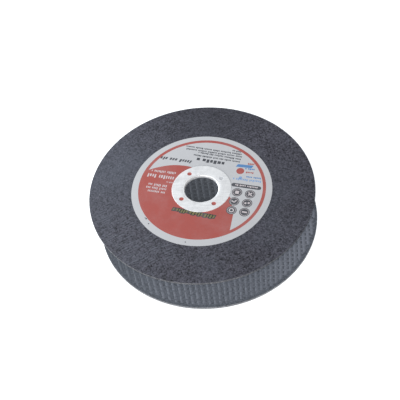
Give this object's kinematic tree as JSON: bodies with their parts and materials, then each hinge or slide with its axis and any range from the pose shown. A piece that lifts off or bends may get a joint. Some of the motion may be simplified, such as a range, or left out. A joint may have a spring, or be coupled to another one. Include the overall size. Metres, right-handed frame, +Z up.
{
  "type": "abrasive cut-off discs",
  "caption": "Thin flat bonded abrasive cut-off discs for metal, one lying label up on the reinforced back of the other, each with a metal centre ring.",
  "frame": {"origin": "on the lower disc's bore axis, at the lowest face of its centre ring", "axes": "+Z up, along both bores; the upper disc's axis is moved from the lower one's, mostly towards +Y"},
  "size_m": [0.107, 0.1189, 0.0033],
  "materials": {
    "abrasive_core": "matt, fine grit in dark resin",
    "glass_net": "resin-soaked glass yarn, satin",
    "front_facing": "matt, fine grit in dark resin",
    "label_paper": "printed paper, slightly glossy",
    "ring_tinplate": "bright tinplate, satin"
  },
  "bodies": {
    "lower_disc": {"lower_core": "abrasive_core", "lower_back_net_weft": "glass_net", "lower_back_net_warp": "glass_net", "lower_front_net_warp": "glass_net", "lower_front_net_weft": "glass_net", "lower_front_facing": "front_facing", "lower_label": "label_paper", "lower_centre_ring": "ring_tinplate"},
    "upper_disc": {"upper_core": "abrasive_core", "upper_back_net_weft": "glass_net", "upper_back_net_warp": "glass_net", "upper_front_net_warp": "glass_net", "upper_front_net_weft": "glass_net", "upper_front_facing": "front_facing", "upper_label": "label_paper", "upper_centre_ring": "ring_tinplate"}
  },
  "joints": [
    {"name": "upper_disc_lift", "type": "slide", "parent": "lower_disc", "child": "upper_disc", "axis": [0, 0, 1], "range_m": [0, 0.05]}
  ]
}
